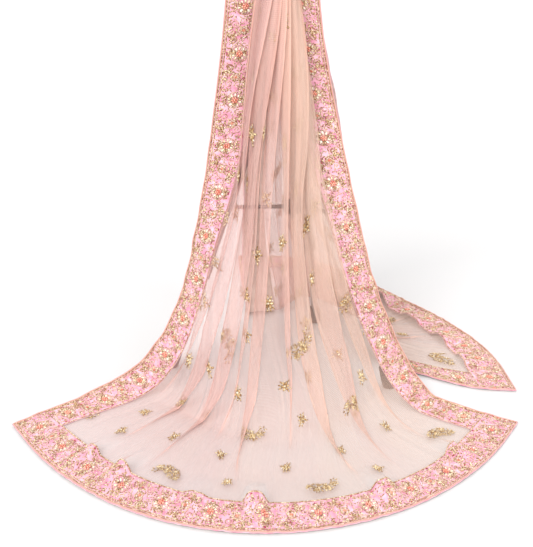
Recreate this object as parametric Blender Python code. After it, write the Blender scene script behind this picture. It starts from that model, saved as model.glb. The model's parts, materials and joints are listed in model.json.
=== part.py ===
"""A bordered net dupatta, draped over a small tripod display stand.

Metres, +Z up, front towards -Y. The net is gathered over a short padded bar, its front end is
fanned out on the floor in front of the stand, and its back end trails off behind to the right.
"""
from collections import namedtuple
from math import cos, pi, radians, sin, tau

import bmesh
import bpy
import numpy as np
from mathutils import Matrix, Vector

# ---- the cloth as it is cut ----
CLOTH_WIDTH = 1.07
FRONT_RUN = 1.20          # from the front hem up to the top of the bar
BACK_RUN = 1.22           # from the top of the bar down to the back hem
SIDE_BORDER = 0.060
END_BORDER = 0.065
NET_WALL = 0.0010
BORDER_WALL = 0.0013
GAP = 0.0003              # left at every seam and joint

# ---- the stand ----
BAR_HEIGHT = 0.875
BAR_RADIUS = 0.012
BAR_LENGTH = 0.240
DRAPE_RADIUS = 0.024      # of the cloth's turn over the bar
COLUMN_RADIUS = 0.008
ROD_RADIUS = 0.0045        # of the thin rod from the collar down to the spreader
COLLAR_HEIGHT = 0.575     # underside of the collar that the legs hang from
COLLAR_RADIUS = 0.021
COLLAR_THICKNESS = 0.034
LEG_ROOT = 0.0125         # how far out each leg leaves the collar
LEG_RADIUS = 0.0072
CLAMP_RADIUS = 0.0105
FOOT_HEIGHT = 0.034
SPREADER_HEIGHT = 0.300
SPREADER_RADIUS = 0.016
STRUT_RADIUS = 0.0035

Foot = namedtuple("Foot", "name x y")
FEET = (
    Foot("left", -0.216, -0.010),
    Foot("right", 0.168, -0.088),
    Foot("back", 0.051, 0.185),
)

# ---- how each fall hangs ----
# A row is one section across the cloth: how far up the fall it is (0 hem, 1 top of the bar), where
# its two edges and its middle are, and which way the borders turn in from the edges. A turn is
# measured in plan from straight across towards the front, a dip downwards, both in degrees.
Section = namedtuple(
    "Section",
    "up left_x left_y left_z left_turn left_dip net_left mid_x mid_y mid_z "
    "right_x right_y right_z right_turn right_dip net_right slack",
)
FRONT = (
    Section(0.000, -.457, -.224, .000, 58, 0, 58, -.046, -.518, .000, .364, -.218, .000, 60, 0, 60, 0),
    Section(0.055, -.411, -.178, .000, 52, 0, 52, -.046, -.455, .010, .314, -.186, .000, 59, 0, 59, 0),
    Section(0.140, -.339, -.123, .010, 44, 9, 44, -.046, -.360, .000, .240, -.131, .003, 58, 0, 58, 0),
    Section(0.210, -.275, -.078, .030, 46, 14, 46, -.046, -.276, .003, .201, -.084, .042, 50, 10, 50, 0),
    Section(0.275, -.228, -.071, .085, 52, 14, 52, -.046, -.215, .032, .166, -.080, .112, 48, 8, 48, 0),
    Section(0.355, -.189, -.054, .165, 58, 6, 58, -.040, -.165, .110, .134, -.083, .194, 46, 4, 46, 0),
    Section(0.455, -.161, -.041, .277, 50, 0, 58, -.034, -.130, .222, .107, -.072, .301, 36, 0, 60, 0),
    Section(0.590, -.136, -.034, .438, 12, 0, 80, -.031, -.100, .395, .073, -.047, .453, 4, 0, 104, .03),
    Section(0.785, -.108, -.034, .670, 0, 0, 78, -.027, -.070, .650, .038, -.034, .672, -12, 0, 104, .03),
    Section(0.965, -.104, -.024, .875, 0, 0, 0, -.026, -.026, .875, .052, -.024, .875, 0, 0, 0, 0),
)
BACK = (
    Section(0.000, -.110, .535, .000, 0, 0, 0, .236, .287, .000, .385, -.109, .000, -86, 0, -86, 0),
    Section(0.053, -.106, .470, .000, 0, 0, 0, .190, .245, .008, .322, -.100, .000, -84, 0, -84, 0),
    Section(0.150, -.098, .370, .000, -6, 0, -6, .125, .220, .000, .215, -.040, .000, -78, 0, -78, 0),
    Section(0.215, -.090, .285, .002, -6, 0, -6, .090, .216, .030, .158, .004, .022, -98, 0, -98, 0),
    Section(0.300, -.086, .200, .012, -14, 0, -14, .066, .205, .120, .122, .034, .095, -100, 0, -96, 0),
    Section(0.420, -.088, .160, .140, -44, 0, -28, .045, .170, .250, .102, .046, .235, -76, 0, -70, 0),
    Section(0.600, -.084, .112, .360, -52, 0, -30, .016, .140, .450, .080, .050, .440, -42, 0, -72, 0),
    Section(0.790, -.092, .060, .620, -28, 0, -50, -.018, .100, .660, .043, .036, .660, -18, 0, -76, 0),
    Section(0.965, -.104, .024, .875, 0, 0, 0, -.026, .026, .875, .052, .024, .875, 0, 0, 0, 0),
)

# A row is one lengthwise fold: where it lies across the net (0 left seam, 1 right seam), how deep
# it is beside the others, and how far up from the hem it starts.
Fold = namedtuple("Fold", "across depth start")
FRONT_FOLDS = (
    Fold(0.123, 1.0, 0.06),
    Fold(0.213, 1.0, 0.06),
    Fold(0.295, 0.8, 0.16),
    Fold(0.376, 0.9, 0.12),
    Fold(0.483, 1.1, 0.05),
    Fold(0.600, 0.9, 0.16),
    Fold(0.714, 1.1, 0.06),
    Fold(0.810, 0.8, 0.14),
    Fold(0.905, 1.0, 0.06),
)
BACK_FOLDS = (
    Fold(0.08, 0.8, 0.12),
    Fold(0.22, 1.0, 0.10),
    Fold(0.37, 1.0, 0.06),
    Fold(0.51, 1.1, 0.08),
    Fold(0.65, 0.9, 0.06),
    Fold(0.78, 1.0, 0.08),
    Fold(0.91, 0.8, 0.14),
)
# How deep the folds are, from crest to valley, at each height up the fall.
Depth = namedtuple("Depth", "up depth")
FOLD_DEPTH = (
    Depth(0.00, 0.000),
    Depth(0.14, 0.010),
    Depth(0.28, 0.026),
    Depth(0.45, 0.034),
    Depth(0.62, 0.036),
    Depth(0.78, 0.030),
    Depth(0.87, 0.007),
    Depth(0.92, 0.002),
    Depth(1.00, 0.001),
)

# A row is one buckle of an end border: where it is across the cloth, its half width and height.
Buckle = namedtuple("Buckle", "across reach height")
FRONT_BUCKLES = (
    Buckle(0.165, 0.016, 0.011),
    Buckle(0.245, 0.018, 0.013),
    Buckle(0.390, 0.022, 0.006),
    Buckle(0.485, 0.017, 0.017),
    Buckle(0.690, 0.021, 0.013),
    Buckle(0.860, 0.018, 0.012),
)
BACK_BUCKLES = (
    Buckle(0.15, 0.050, 0.012),
    Buckle(0.33, 0.050, 0.016),
    Buckle(0.49, 0.040, 0.026),
    Buckle(0.63, 0.035, 0.010),
    Buckle(0.76, 0.030, 0.012),
    Buckle(0.88, 0.030, 0.009),
)

# ---- facets ----
COLUMNS_PER_FOLD = 4
BORDER_COLUMNS = 2
END_ROWS = 2
ROUND_SIDES = 24
SHARPEST_FOLD = 0.3       # a wall's corner reaches out by at most its thickness over this

# A fall's fullness is how deep its folds are, as a share of the depths above.
Fall = namedtuple("Fall", "name side run sections folds fullness buckles rows")
FRONT_FALL = Fall("front", -1, FRONT_RUN, FRONT, FRONT_FOLDS, 1.0, FRONT_BUCKLES, 26)
BACK_FALL = Fall("back", 1, BACK_RUN, BACK, BACK_FOLDS, 1.2, BACK_BUCKLES, 22)


# ---- curves ----
def read(rows, name, up):
    """The smooth curve through one column of a table, read at a height up the fall."""
    knots = np.array([row.up for row in rows])
    values = np.array([getattr(row, name) for row in rows], dtype=float)
    slopes = np.gradient(values, knots)
    i = int(np.clip(np.searchsorted(knots, up) - 1, 0, len(knots) - 2))
    width = knots[i + 1] - knots[i]
    return hermite(values[i], slopes[i] * width, values[i + 1], slopes[i + 1] * width,
                   (up - knots[i]) / width)


def hermite(start, leave, end, arrive, t):
    return ((2 * t**3 - 3 * t**2 + 1) * start + (t**3 - 2 * t**2 + t) * leave
            + (3 * t**2 - 2 * t**3) * end + (t**3 - t**2) * arrive)


def ease(x):
    x = np.clip(x, 0.0, 1.0)
    return x * x * (3 - 2 * x)


def unit(v):
    return v / np.maximum(np.linalg.norm(v, axis=-1, keepdims=True), 1e-9)


def heading(turn, dip, inward):
    """Direction in from an edge: inward is +1 from the left edge, -1 from the right."""
    a, b = radians(turn), radians(dip)
    return np.array([inward * cos(a) * cos(b), -sin(a) * cos(b), -sin(b)])


# ---- the draped surface ----
def section(fall, up, across):
    """Points of the smooth cloth, without folds, along one section. across is 0 to 1."""
    top = fall.sections[-1].up
    low = min(up, top)
    at = {name: read(fall.sections, name, low) for name in Section._fields[1:]}
    left = np.array([at["left_x"], at["left_y"], at["left_z"]])
    right = np.array([at["right_x"], at["right_y"], at["right_z"]])
    mid = np.array([at["mid_x"], at["mid_y"], at["mid_z"]])
    from_left = heading(at["left_turn"], at["left_dip"], 1)
    from_right = heading(at["right_turn"], at["right_dip"], -1)
    net_left = heading(at["net_left"], at["left_dip"], 1)
    net_right = heading(at["net_right"], at["right_dip"], -1)
    seam_left = left + SIDE_BORDER * from_left
    seam_right = right + SIDE_BORDER * from_right
    over = unit(seam_right - seam_left)
    reach_left = np.linalg.norm(mid - seam_left) * 1.08 + at["slack"]
    reach_right = np.linalg.norm(seam_right - mid) * 1.08 + at["slack"]
    reach_mid = (reach_left + reach_right) / 2
    points = []
    for a in across:
        w = a * CLOTH_WIDTH
        c = (w - SIDE_BORDER) / (CLOTH_WIDTH - 2 * SIDE_BORDER)
        if c <= 0:
            p = left + w * from_left
        elif c >= 1:
            p = right + (CLOTH_WIDTH - w) * from_right
        elif c < 0.5:
            p = hermite(seam_left, net_left * reach_left, mid, over * reach_mid, 2 * c)
        else:
            p = hermite(mid, over * reach_mid, seam_right, -net_right * reach_right, 2 * c - 1)
        points.append(p)
    points = np.array(points)
    points[:, 2] = np.maximum(points[:, 2], 0.0)      # the floor
    if up > top:
        angle = (up - top) / (1 - top) * pi / 2
        points[:, 1] = fall.side * DRAPE_RADIUS * cos(angle)
        points[:, 2] = BAR_HEIGHT + DRAPE_RADIUS * sin(angle)
    return points


def fold_phase(folds, c):
    """Turns counted across the net: whole numbers at the folds' crests."""
    places = [-folds[0].across] + [f.across for f in folds] + [2 - folds[-1].across]
    return np.interp(c, places, range(len(places)))


def lift(fall, up, a):
    """How far the cloth stands off its smooth section: folds of the net, buckles of the hem."""
    w = a * CLOTH_WIDTH
    c = (w - SIDE_BORDER) / (CLOTH_WIDTH - 2 * SIDE_BORDER)
    off = 0.0
    if 0 < c < 1:
        depth = read(FOLD_DEPTH, "depth", up) * fall.fullness
        near = min(fall.folds, key=lambda f: abs(f.across - c))
        grown = ease((up - near.start) / 0.14)
        at_seams = ease(c / 0.20) * ease((1 - c) / 0.20)
        off += depth * near.depth * grown * at_seams * 0.5 * (1 + cos(tau * fold_phase(fall.folds, c)))
    end = END_BORDER / fall.run
    along = up / end if up < end else max(0.0, 1 - (up - end) / end)
    for b in fall.buckles:
        off += b.height * along * np.exp(-((a - b.across) / b.reach) ** 2)
    return off


def surface(fall, up, across):
    """Grid of points on the cloth's inner side, and the directions straight out from it."""
    smooth = np.array([section(fall, v, across) for v in up])
    off = np.array([[lift(fall, v, a) for a in across] for v in up])
    points = smooth + outward(fall, smooth) * off[:, :, None]
    return points, outward(fall, points)


def outward(fall, points):
    """Directions straight out of the cloth, longer at a fold so that the wall keeps its thickness."""
    along = np.gradient(points, axis=0)
    steps = np.diff(points, axis=1)
    before = np.concatenate([steps[:, :1], steps], axis=1)
    after = np.concatenate([steps, steps[:, -1:]], axis=1)
    out_before = unit(np.cross(before, along) * -fall.side)
    out_after = unit(np.cross(after, along) * -fall.side)
    out = unit(out_before + out_after)
    slant = np.sum(out * out_before, axis=2, keepdims=True)
    return out / np.maximum(slant, SHARPEST_FOLD)


# ---- solids ----
def material(name, colour, roughness, metallic=0.0):
    m = bpy.data.materials.new(name)
    m.use_nodes = True
    shader = m.node_tree.nodes["Principled BSDF"]
    shader.inputs["Base Color"].default_value = (*colour, 1)
    shader.inputs["Roughness"].default_value = roughness
    shader.inputs["Metallic"].default_value = metallic
    return m


def add_object(name, mesh, finish, smooth=False):
    mesh.materials.clear()
    mesh.materials.append(finish)
    if smooth:
        mesh.shade_smooth()
        mesh.set_sharp_from_angle(angle=radians(40))
    obj = bpy.data.objects.new(name, mesh)
    bpy.context.scene.collection.objects.link(obj)
    return obj


def cloth_wall(name, points, out, wall, finish, flip):
    """A closed wall on a grid of points: inner side, outer side and the four edges."""
    rows, columns = points.shape[:2]
    inner = points.reshape(-1, 3)
    outer = (points + out * wall).reshape(-1, 3)
    far = rows * columns
    faces = []
    for r in range(rows - 1):
        for c in range(columns - 1):
            i = r * columns + c
            a, b, d, e = i, i + 1, i + columns + 1, i + columns
            # both sides of the wall are split along the same short diagonal, so they never cross
            short = np.linalg.norm(inner[a] - inner[d]) < np.linalg.norm(inner[b] - inner[e])
            for triangle in ((a, b, d), (a, d, e)) if short else ((a, b, e), (b, d, e)):
                faces.append(tuple(far + k for k in triangle))
                faces.append(triangle[::-1])
    rim = list(range(columns)) + [r * columns + columns - 1 for r in range(1, rows)]
    rim += [(rows - 1) * columns + c for c in range(columns - 2, -1, -1)]
    rim += [r * columns for r in range(rows - 2, 0, -1)]
    for a, b in zip(rim, rim[1:] + rim[:1]):
        faces.append((a, b, far + b, far + a))
    if flip:
        faces = [f[::-1] for f in faces]
    mesh = bpy.data.meshes.new(name)
    mesh.from_pydata(np.vstack([inner, outer]).tolist(), [], faces)
    mesh.update()
    return add_object(name, mesh, finish)


def trimmed(points, bottom, top, left, right):
    """The grid with half a seam gap taken off the named sides."""
    p = points.copy()
    half = GAP / 2
    for wanted, edge, inside in (
        (bottom, p[0], p[1]), (top, p[-1], p[-2]), (left, p[:, 0], p[:, 1]), (right, p[:, -1], p[:, -2]),
    ):
        if wanted:
            step = inside - edge
            edge += step / np.linalg.norm(step, axis=1, keepdims=True) * half
    return p


def build_fall(fall, net, satin):
    """The net, its two side borders and its end border, cut from one draped surface."""
    net_width = CLOTH_WIDTH - 2 * SIDE_BORDER
    crests = [0] + [f.across for f in fall.folds] + [1]
    net_across = [(SIDE_BORDER + c * net_width) / CLOTH_WIDTH
                  for c in np.interp(np.arange(0, len(crests) - 1 + 0.01, 1 / COLUMNS_PER_FOLD),
                                     range(len(crests)), crests)]
    edge = np.linspace(0, SIDE_BORDER / CLOTH_WIDTH, BORDER_COLUMNS + 1)[:-1]
    across = np.array(list(edge) + net_across + list(1 - edge[::-1]))
    end = END_BORDER / fall.run
    up = np.concatenate([np.linspace(0, end, END_ROWS + 1)[:-1], np.linspace(end, 1, fall.rows + 1)])
    points, out = surface(fall, up, across)
    s, e = BORDER_COLUMNS, END_ROWS
    flip = fall.side > 0
    pieces = (
        ("net", slice(e, None), slice(s, -s), NET_WALL, net, (True, True, True, True)),
        ("border_left", slice(e, None), slice(None, s + 1), BORDER_WALL, satin, (True, True, False, True)),
        ("border_right", slice(e, None), slice(-s - 1, None), BORDER_WALL, satin, (True, True, True, False)),
        ("border_end", slice(None, e + 1), slice(None), BORDER_WALL, satin, (False, True, False, False)),
    )
    for name, rows, columns, wall, finish, seams in pieces:
        grid = trimmed(points[rows, columns], *seams)
        cloth_wall(f"{fall.name}_{name}", grid, out[rows, columns], wall, finish, flip)


# ---- the stand ----
def turned(name, profile, finish, axis=Vector((0, 0, 1)), at=Vector((0, 0, 0)), cuts=()):
    """A solid turned from (radius, height) pairs, then cut flat at the given heights."""
    bm = bmesh.new()
    turn = Vector((0, 0, 1)).rotation_difference(axis).to_matrix().to_4x4()
    place = Matrix.Translation(at) @ turn
    rings = [[bm.verts.new(place @ Vector((r * cos(tau * i / ROUND_SIDES), r * sin(tau * i / ROUND_SIDES), h)))
              for i in range(ROUND_SIDES)] for r, h in profile]
    bm.faces.new(rings[0][::-1])
    bm.faces.new(rings[-1])
    for low, high in zip(rings, rings[1:]):
        for i in range(ROUND_SIDES):
            j = (i + 1) % ROUND_SIDES
            bm.faces.new((low[i], low[j], high[j], high[i]))
    for height, keep in cuts:
        geometry = bm.verts[:] + bm.edges[:] + bm.faces[:]
        cut = bmesh.ops.bisect_plane(bm, geom=geometry, plane_co=(0, 0, height), plane_no=(0, 0, keep),
                                     clear_inner=True)
        edges = [g for g in cut["geom_cut"] if isinstance(g, bmesh.types.BMEdge)]
        bmesh.ops.edgeloop_fill(bm, edges=edges)
    bmesh.ops.recalc_face_normals(bm, faces=bm.faces[:])
    mesh = bpy.data.meshes.new(name)
    bm.to_mesh(mesh)
    bm.free()
    return add_object(name, mesh, finish, smooth=True)


def leg_axis(foot):
    """Where a leg leaves the collar, and its foot's place on the floor."""
    out = Vector((foot.x, foot.y, 0)).normalized()
    return out * LEG_ROOT + Vector((0, 0, COLLAR_HEIGHT)), Vector((foot.x, foot.y, 0))


def build_stand(metal, rubber, padding):
    end = BAR_LENGTH / 2
    r = BAR_RADIUS
    rounding = [(r * sin(a), -end + r - r * cos(a)) for a in (0.35, 0.8, 1.2)]
    profile = rounding + [(r, -end + r), (r, end - r)] + [(x, -h) for x, h in rounding[::-1]]
    turned("stand_bar", profile, padding, Vector((1, 0, 0)), Vector((0, 0, BAR_HEIGHT)))

    c = COLUMN_RADIUS
    collar_top = COLLAR_HEIGHT + COLLAR_THICKNESS
    column_top = BAR_HEIGHT - BAR_RADIUS - GAP
    turned("stand_column", [(c, collar_top + GAP), (c, column_top)], metal)
    rod = ROD_RADIUS
    turned("stand_rod", [(rod, SPREADER_HEIGHT - 0.02), (rod, COLLAR_HEIGHT - GAP)], metal)
    k = COLLAR_RADIUS
    turned("stand_collar", [(k * 0.9, COLLAR_HEIGHT), (k, COLLAR_HEIGHT + 0.004), (k, collar_top - 0.012),
                            (c * 1.7, collar_top)], metal)
    hub = SPREADER_RADIUS
    spreader = turned("stand_spreader", [(hub, SPREADER_HEIGHT - 0.009), (hub, SPREADER_HEIGHT + 0.009)], metal)
    bore = turned("bore", [(rod + GAP, SPREADER_HEIGHT - 0.03), (rod + GAP, SPREADER_HEIGHT + 0.03)], metal)
    subtract(spreader, bore)

    for foot in FEET:
        root, ground = leg_axis(foot)
        axis = (root - ground).normalized()
        length = (root - ground).length
        q = LEG_RADIUS
        clamp = 0.30 * length
        profile = [(q * 0.75, 0), (q * 0.75, clamp), (CLAMP_RADIUS, clamp), (CLAMP_RADIUS, clamp + 0.026),
                   (q, clamp + 0.026), (q, length + 0.02)]
        turned(f"stand_leg_{foot.name}", profile, metal, axis, ground,
               [(FOOT_HEIGHT + GAP, 1), (COLLAR_HEIGHT - GAP, -1)])
        turned(f"stand_foot_{foot.name}", [(0.0105, -0.02), (0.0105, 0.020), (0.0085, 0.045)], rubber, axis,
               ground, [(0, 1), (FOOT_HEIGHT, -1)])
        along = (SPREADER_HEIGHT - ground.z) / (root.z - ground.z)
        leg_point = ground.lerp(root, along)
        out = Vector((leg_point.x, leg_point.y, 0))
        slope = (ground.length - LEG_ROOT) / COLLAR_HEIGHT
        reach = out.length - LEG_RADIUS * (1 + slope**2) ** 0.5 - STRUT_RADIUS * slope - GAP
        turned(f"stand_strut_{foot.name}", [(STRUT_RADIUS, hub + GAP), (STRUT_RADIUS, reach)], metal,
               out.normalized(), Vector((0, 0, SPREADER_HEIGHT)))


def subtract(obj, cutter):
    cut = obj.modifiers.new("bore", "BOOLEAN")
    cut.operation = "DIFFERENCE"
    cut.object = cutter
    cutter.hide_render = True
    cutter.display_type = "WIRE"


def main():
    for obj in list(bpy.data.objects):
        bpy.data.objects.remove(obj, do_unlink=True)
    net = material("peach_net", (0.93, 0.72, 0.64), 0.85)
    satin = material("pink_satin", (0.93, 0.55, 0.66), 0.45)
    metal = material("dark_metal", (0.12, 0.11, 0.12), 0.4, 0.8)
    rubber = material("rubber", (0.05, 0.05, 0.05), 0.85)
    padding = material("bar_padding", (0.62, 0.58, 0.58), 0.8)
    build_fall(FRONT_FALL, net, satin)
    build_fall(BACK_FALL, net, satin)
    build_stand(metal, rubber, padding)
    stand_on_centre()


def stand_on_centre():
    """Move every mesh so that the middle of the part's footprint is the origin."""
    bpy.context.view_layer.update()
    pieces = [o for o in bpy.data.objects if not o.hide_render]
    corners = np.array([v.co for o in pieces for v in o.data.vertices])
    low, high = corners.min(axis=0), corners.max(axis=0)
    shift = Vector((-(low[0] + high[0]) / 2, -(low[1] + high[1]) / 2, -low[2]))
    for obj in bpy.data.objects:
        obj.data.transform(Matrix.Translation(shift))


if __name__ == "__main__":
    main()
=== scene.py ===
# %% [markdown]
# # A bordered net dupatta, draped over a small tripod stand
#
# A dupatta is a long, light cloth worn over the shoulder. This one is sheer peach net with a
# wide pink satin border, embroidered in gold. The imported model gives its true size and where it
# stands. This script dresses that model: it drapes fine net and satin in the same place, sews
# the embroidery on, and gives the stand its finish. Every length is in metres.

# %% Load the frame
import json
from collections import namedtuple
from math import atan2, cos, pi, radians, sin, tau

import bpy
import numpy as np
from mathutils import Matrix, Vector


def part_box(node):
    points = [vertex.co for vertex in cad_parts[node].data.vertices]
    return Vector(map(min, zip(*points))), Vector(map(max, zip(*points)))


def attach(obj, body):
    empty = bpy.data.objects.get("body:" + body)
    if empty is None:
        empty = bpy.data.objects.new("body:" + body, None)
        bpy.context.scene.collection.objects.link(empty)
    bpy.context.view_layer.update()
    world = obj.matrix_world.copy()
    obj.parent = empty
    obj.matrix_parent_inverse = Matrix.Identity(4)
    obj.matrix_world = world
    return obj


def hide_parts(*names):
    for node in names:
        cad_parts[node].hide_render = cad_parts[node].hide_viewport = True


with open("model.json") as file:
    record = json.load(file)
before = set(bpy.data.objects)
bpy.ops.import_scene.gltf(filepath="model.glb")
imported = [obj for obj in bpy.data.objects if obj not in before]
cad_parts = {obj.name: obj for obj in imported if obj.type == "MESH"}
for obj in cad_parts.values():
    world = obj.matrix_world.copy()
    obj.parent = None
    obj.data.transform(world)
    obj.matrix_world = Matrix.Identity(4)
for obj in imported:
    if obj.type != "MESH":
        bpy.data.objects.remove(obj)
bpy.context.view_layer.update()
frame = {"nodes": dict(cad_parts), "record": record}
low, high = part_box("stand_column")
STAND = Vector(((low.x + high.x) / 2, (low.y + high.y) / 2, 0))
print("the stand's middle is at", tuple(round(x, 4) for x in STAND))

# %% [markdown]
# ## The camera
#
# The camera stands a little over one and a half metres in front, and looks down at the cloth
# that is fanned out on the floor. A long lens keeps the fan's shape.

# %% Camera
CAMERA_PLACE = STAND + Vector((-0.045, -1.740, 0.879))
CAMERA_DIP = 22           # degrees below the level
FOCAL_LENGTH = 70.42      # of a 36 mm film, in millimetres


def new_object(name, data):
    """An object in the scene that shows the given data."""
    made = bpy.data.objects.new(name, data)
    bpy.context.scene.collection.objects.link(made)
    return made


camera = new_object("camera", bpy.data.cameras.new("camera"))
camera.data.lens = FOCAL_LENGTH
camera.location = CAMERA_PLACE
camera.rotation_euler = (pi / 2 - radians(CAMERA_DIP), 0, 0)
bpy.context.scene.camera = camera
print("camera: a", FOCAL_LENGTH, "mm lens that looks down by", CAMERA_DIP, "degrees")

# %% [markdown]
# ## Floor and light
#
# Net is judged by what shows through it, so the floor is a plain pale sheet and the light is
# large and soft. One big lamp from the upper left models the folds, a weaker one fills from the
# right, one from behind lightens the net, and the sky lights the rest.

# %% Helpers for materials
def connect(tree, node, inputs):
    """Links each of a node's named inputs from a socket, or gives it a value."""
    for key, value in inputs.items():
        if isinstance(value, bpy.types.NodeSocket):
            tree.links.new(value, node.inputs[key])
        else:
            node.inputs[key].default_value = value


def add(tree, kind, inputs=None, **settings):
    """A new node. Its settings come first, because they decide which inputs it has."""
    node = tree.nodes.new(kind)
    for key, value in settings.items():
        setattr(node, key, value)
    connect(tree, node, inputs or {})
    return node


def new_material(name):
    """A material, its node tree and its shader."""
    made = bpy.data.materials.new(name)
    made.use_nodes = True
    return made, made.node_tree, made.node_tree.nodes["Principled BSDF"]


def plain(colour):
    """A colour given as it looks on a screen, 0 to 255, turned into linear light."""
    c = np.array(colour) / 255
    return (*np.where(c <= 0.04045, c / 12.92, ((c + 0.055) / 1.055) ** 2.4), 1.0)


# %% Floor and sky
FLOOR_HALF = 14.0
FLOOR_DROP = 0.0005       # it lies a hair lower than the cloth's lowest point
floor_mesh = bpy.data.meshes.new("floor")
floor_mesh.from_pydata(
    [(x * FLOOR_HALF, y * FLOOR_HALF, -FLOOR_DROP) for x, y in ((-1, -1), (1, -1), (1, 1), (-1, 1))],
    [], [(0, 1, 2, 3)])
floor_finish, tree, shader = new_material("floor_paper")
connect(tree, shader, {"Base Color": (0.735, 0.730, 0.732, 1), "Roughness": 0.9,
                       "Specular IOR Level": 0.1})
floor_mesh.materials.append(floor_finish)
new_object("floor", floor_mesh)

world = bpy.data.worlds.new("studio")
world.use_nodes = True
connect(world.node_tree, world.node_tree.nodes["Background"],
        {"Color": (1.0, 0.995, 0.99, 1), "Strength": 0.86})
bpy.context.scene.world = world
print("floor:", 2 * FLOOR_HALF, "m across")

# %% Lamps
def lamp(name, comes_from, spread, strength):
    """A distant lamp: it lights the whole floor alike. spread is the width of its disc."""
    made = new_object(name, bpy.data.lights.new(name, "SUN"))
    made.data.angle = radians(spread)
    made.data.energy = strength
    made.rotation_euler = (-Vector(comes_from)).to_track_quat("-Z", "Y").to_euler()
    print(name, "of strength", strength)


lamp("key_lamp", (-0.60, -1.25, 1.10), 34, 2.00)
lamp("fill_lamp", (0.9, -1.2, 0.7), 60, 0.90)
lamp("back_lamp", (0.2, 1.2, 1.4), 60, 0.50)

bpy.context.scene.view_settings.view_transform = "Standard"
bpy.context.scene.cycles.transparent_max_bounces = 40
bpy.context.scene.cycles.sample_clamp_indirect = 4.0

# %% [markdown]
# ## The drape
#
# The solids of the cloth were made from a few sections across it, one for each height. The same
# sections are repeated here, because a finer cloth has to lie in the same place; only the back
# fall's right edge is 3 or 4 mm further in at two of them. A section gives both edges, the middle,
# and the directions in which the borders turn in from the edges. Curves through those points give
# the cloth without its folds. A cloth simulation could find the folds by itself, but a metre of
# net gathered over a short bar takes long to settle, and each fold here has a place to be in.

# %% Sizes of the cut cloth
CLOTH_WIDTH = 1.07
SIDE_BORDER = 0.060
END_BORDER = 0.065
NET_WIDTH = CLOTH_WIDTH - 2 * SIDE_BORDER
BAR_HEIGHT = 0.875
DRAPE_RADIUS = 0.024      # of the turn over the bar
print("cloth", CLOTH_WIDTH, "m wide, with", round(NET_WIDTH, 3), "m of net between its borders")

# %% Sections, buckles and folds
# up is how far up the fall a section is, 0 at the hem and 1 on top of the bar. A turn is measured
# in plan from straight across towards the front, and a dip downwards, both in degrees.
Section = namedtuple(
    "Section",
    "up left_x left_y left_z left_turn left_dip net_left mid_x mid_y mid_z "
    "right_x right_y right_z right_turn right_dip net_right slack",
)
FRONT_SECTIONS = (
    Section(0.000, -.457, -.224, .000, 58, 0, 58, -.046, -.518, .000, .364, -.218, .000, 60, 0, 60, 0),
    Section(0.055, -.411, -.178, .000, 52, 0, 52, -.046, -.455, .010, .314, -.186, .000, 59, 0, 59, 0),
    Section(0.140, -.339, -.123, .010, 44, 9, 44, -.046, -.360, .000, .240, -.131, .003, 58, 0, 58, 0),
    Section(0.210, -.275, -.078, .030, 46, 14, 46, -.046, -.276, .003, .201, -.084, .042, 50, 10, 50, 0),
    Section(0.275, -.228, -.071, .085, 52, 14, 52, -.046, -.215, .032, .166, -.080, .112, 48, 8, 48, 0),
    Section(0.355, -.189, -.054, .165, 58, 6, 58, -.040, -.165, .110, .134, -.083, .194, 46, 4, 46, 0),
    Section(0.455, -.161, -.041, .277, 50, 0, 58, -.034, -.130, .222, .107, -.072, .301, 36, 0, 60, 0),
    Section(0.590, -.136, -.034, .438, 12, 0, 80, -.031, -.100, .395, .073, -.047, .453, 4, 0, 104, .03),
    Section(0.785, -.108, -.034, .670, 0, 0, 78, -.027, -.070, .650, .038, -.034, .672, -12, 0, 104, .03),
    Section(0.965, -.104, -.024, .875, 0, 0, 0, -.026, -.026, .875, .052, -.024, .875, 0, 0, 0, 0),
)
BACK_SECTIONS = (
    Section(0.000, -.110, .535, .000, 0, 0, 0, .236, .287, .000, .385, -.109, .000, -86, 0, -86, 0),
    Section(0.053, -.106, .470, .000, 0, 0, 0, .190, .245, .008, .322, -.100, .000, -84, 0, -84, 0),
    Section(0.150, -.098, .370, .000, -6, 0, -6, .125, .220, .000, .215, -.040, .000, -78, 0, -78, 0),
    Section(0.215, -.090, .285, .002, -6, 0, -6, .090, .216, .030, .158, .004, .022, -98, 0, -98, 0),
    Section(0.300, -.086, .200, .012, -14, 0, -14, .066, .205, .120, .122, .034, .095, -100, 0, -96, 0),
    Section(0.420, -.088, .160, .140, -44, 0, -28, .045, .170, .250, .102, .046, .235, -76, 0, -70, 0),
    Section(0.600, -.084, .112, .360, -52, 0, -30, .016, .140, .450, .077, .050, .440, -42, 0, -72, 0),
    Section(0.790, -.092, .060, .620, -28, 0, -50, -.018, .100, .660, .039, .036, .660, -18, 0, -76, 0),
    Section(0.965, -.104, .024, .875, 0, 0, 0, -.026, .026, .875, .052, .024, .875, 0, 0, 0, 0),
)

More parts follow.
